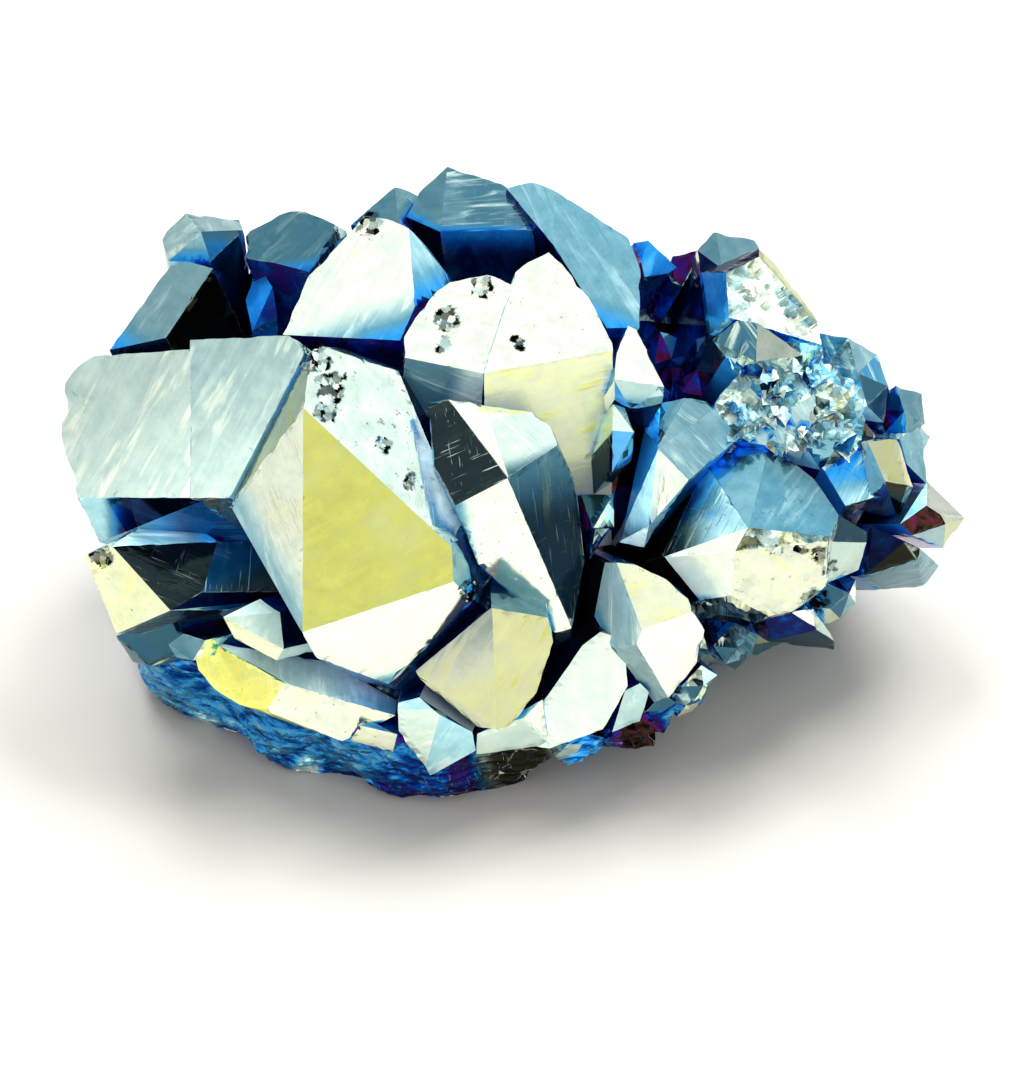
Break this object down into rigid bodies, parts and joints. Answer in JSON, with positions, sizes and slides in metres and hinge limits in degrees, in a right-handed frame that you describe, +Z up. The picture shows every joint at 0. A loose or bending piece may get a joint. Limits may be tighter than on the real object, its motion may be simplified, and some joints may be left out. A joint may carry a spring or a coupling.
{
  "type": "aura quartz cluster",
  "caption": "Stubby quartz points grown together on a thin rough matrix, coated with an iridescent metal film, with a flat underside to stand on.",
  "frame": {"origin": "on the surface that the cluster stands on, under the middle of its bounding box", "axes": "+X along the cluster's longest side, to its pointed end; the big faces look towards -Y and +Z; +Z up"},
  "size_m": [0.1004, 0.0694, 0.0507],
  "materials": {
    "coated_quartz": "quartz under an opaque vapour-deposited titanium film: mirror bright, silver and pale yellow on the open faces, blue to violet in the clefts"
  },
  "bodies": {
    "root": {"quartz_cluster": "coated_quartz"}
  },
  "joints": []
}
